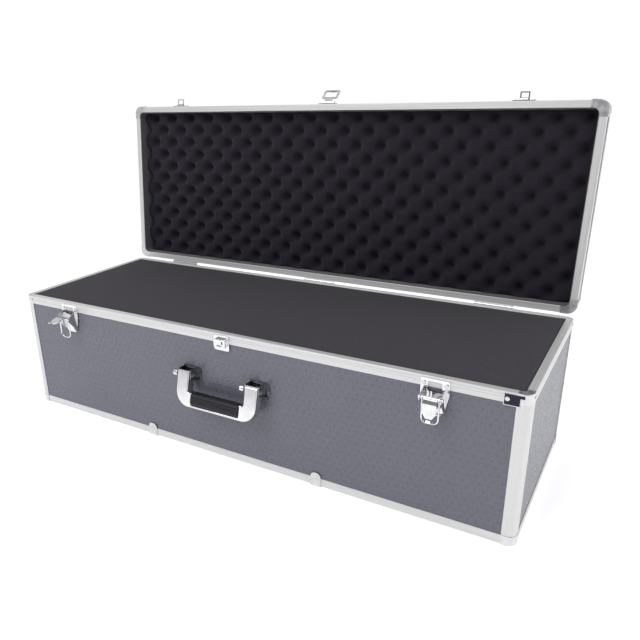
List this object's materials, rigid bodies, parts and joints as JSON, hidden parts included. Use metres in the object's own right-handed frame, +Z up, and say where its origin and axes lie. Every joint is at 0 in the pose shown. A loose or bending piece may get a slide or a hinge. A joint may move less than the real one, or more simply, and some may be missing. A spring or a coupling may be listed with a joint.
{
  "type": "hard storage case",
  "caption": "Long foam-lined carrying case with aluminium edges, embossed grey panels, hinged lid, ring latches, centre hasp and a folding handle.",
  "frame": {"origin": "centre of the base's flat underside board, just above the foot clips", "axes": "+X along the length to the right seen from the handle side, +Y to the hinges, +Z up"},
  "size_m": [1.0042, 0.4857, 0.6192],
  "materials": {
    "embossed_board": "semi-gloss blue-grey sheet, embossed with a hexagon pattern, on board",
    "aluminium_section": "satin anodised extrusion",
    "bright_casting": "bright",
    "chromed_steel": "bright chrome",
    "rivets": "bright steel",
    "base_foam": "open-cell foam, charcoal",
    "lid_foam": "egg-crate foam, near black",
    "lining": "grey liner",
    "grip": "ribbed black",
    "name_plate": "blank"
  },
  "bodies": {
    "base": {"base_panel_bottom": "embossed_board", "base_panel_front": "embossed_board", "base_panel_right": "embossed_board", "base_panel_back": "embossed_board", "base_panel_left": "embossed_board", "base_rim_rail_front": "aluminium_section", "base_rim_rail_right": "aluminium_section", "base_rim_rail_back": "aluminium_section", "base_rim_rail_left": "aluminium_section", "base_bottom_trims": "aluminium_section", "base_post_back_right": "aluminium_section", "base_post_back_left": "aluminium_section", "base_post_front_left": "aluminium_section", "base_post_front_right": "aluminium_section", "base_rim_corners": "bright_casting", "base_bottom_caps": "bright_casting", "foot_clips": "bright_casting", "base_foam_pad": "base_foam", "base_foam_block": "base_foam", "hinge_base_leaves": "chromed_steel", "hinge_pins": "chromed_steel", "latch_plate_left": "chromed_steel", "latch_plate_right": "chromed_steel", "latch_pins": "chromed_steel", "hasp_catch": "chromed_steel", "handle_bracket_left": "chromed_steel", "handle_bracket_right": "chromed_steel", "handle_pins": "chromed_steel", "blank_name_plate": "name_plate", "base_rivets": "rivets"},
    "lid": {"lid_panel_top": "embossed_board", "lid_panel_front": "embossed_board", "lid_panel_right": "embossed_board", "lid_panel_back": "embossed_board", "lid_panel_left": "embossed_board", "lid_rim_rail_front": "aluminium_section", "lid_rim_rail_right": "aluminium_section", "lid_rim_rail_back": "aluminium_section", "lid_rim_rail_left": "aluminium_section", "lid_top_trims": "aluminium_section", "lid_corner_back_right": "bright_casting", "lid_corner_back_left": "bright_casting", "lid_corner_front_left": "bright_casting", "lid_corner_front_right": "bright_casting", "lid_egg_crate_foam": "lid_foam", "lid_wall_lining": "lining", "hinge_lid_leaves": "chromed_steel", "lid_keeper_left": "chromed_steel", "lid_keeper_right": "chromed_steel", "hasp_flange": "chromed_steel", "hasp_pin": "chromed_steel", "lid_rivets": "rivets"},
    "hasp": {"hasp_loop": "chromed_steel"},
    "handle": {"handle_bow": "chromed_steel", "handle_grip": "grip"},
    "lever_left": {"latch_lever_left": "chromed_steel"},
    "lever_right": {"latch_lever_right": "chromed_steel"},
    "ring_left": {"latch_ring_left": "chromed_steel"},
    "ring_right": {"latch_ring_right": "chromed_steel"}
  },
  "joints": [
    {"name": "lid_hinge", "type": "hinge", "parent": "base", "child": "lid", "pos_m": [0, 0.1784, 0.2402], "axis": [1, 0, 0], "range_deg": [0, 95]},
    {"name": "hasp_hinge", "type": "hinge", "parent": "lid", "child": "hasp", "pos_m": [0, 0.21569, 0.5953], "axis": [1, 0, 0], "range_deg": [0, 135]},
    {"name": "handle_hinge", "type": "hinge", "parent": "base", "child": "handle", "pos_m": [0, -0.191, 0.157], "axis": [1, 0, 0], "range_deg": [-81, 0]},
    {"name": "lever_left_hinge", "type": "hinge", "parent": "base", "child": "lever_left", "pos_m": [-0.37, -0.1925, 0.214], "axis": [1, 0, 0], "range_deg": [0, 78]},
    {"name": "lever_right_hinge", "type": "hinge", "parent": "base", "child": "lever_right", "pos_m": [0.37, -0.1925, 0.214], "axis": [1, 0, 0], "range_deg": [-78, 0]},
    {"name": "ring_left_hinge", "type": "hinge", "parent": "base", "child": "ring_left", "pos_m": [-0.37, -0.1925, 0.214], "axis": [1, 0, 0], "range_deg": [-188, 0]},
    {"name": "ring_right_hinge", "type": "hinge", "parent": "base", "child": "ring_right", "pos_m": [0.37, -0.1925, 0.214], "axis": [1, 0, 0], "range_deg": [-188, 0]}
  ]
}
